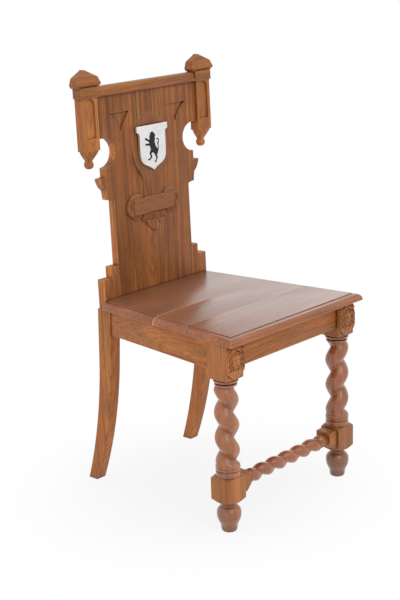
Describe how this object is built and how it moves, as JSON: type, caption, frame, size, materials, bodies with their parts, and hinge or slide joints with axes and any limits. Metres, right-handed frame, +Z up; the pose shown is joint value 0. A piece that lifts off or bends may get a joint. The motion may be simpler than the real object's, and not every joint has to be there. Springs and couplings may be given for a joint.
{
  "type": "wainscot chair",
  "caption": "Joined plank-seat hall chair with twist-turned front legs and stretcher, swept rear legs and a carved shield back.",
  "frame": {"origin": "on the floor, in the middle of the chair's width and depth", "axes": "+Z up, +Y to the chair's back, +X to the right as seen from the front"},
  "size_m": [0.4608, 0.5084, 0.9737],
  "materials": {
    "oak": "oiled and waxed oak, medium brown, worn lighter on edges",
    "shield_paint": "oak painted off-white, matt, worn",
    "lion_paint": "oak painted black, matt",
    "screw_steel": "plain steel, dull"
  },
  "bodies": {
    "root": {"back_dowels": "oak", "back_panel": "oak", "back_wing_left": "oak", "back_wing_right": "oak", "cap_dowels": "oak", "corner_block_front_left": "oak", "corner_block_front_right": "oak", "corner_block_rear_left": "oak", "corner_block_rear_right": "oak", "crest_rail": "oak", "drop_pendant_left": "oak", "drop_pendant_right": "oak", "front_leg_left": "oak", "front_leg_right": "oak", "front_rail": "oak", "front_stretcher": "oak", "leaf_pendant": "oak", "mask_left": "oak", "mask_right": "oak", "pilaster_cap_left": "oak", "pilaster_cap_right": "oak", "pilaster_capital_left": "oak", "pilaster_capital_right": "oak", "pilaster_left": "oak", "pilaster_right": "oak", "rear_leg_left": "oak", "rear_leg_right": "oak", "rear_rail": "oak", "scroll_banner": "oak", "seat_board_front": "oak", "seat_board_middle": "oak", "seat_board_rear": "oak", "seat_screws": "screw_steel", "shield": "shield_paint", "shield_lion": "lion_paint", "shield_mount": "oak", "side_rail_left": "oak", "side_rail_right": "oak", "wing_dowels": "oak"}
  },
  "joints": []
}
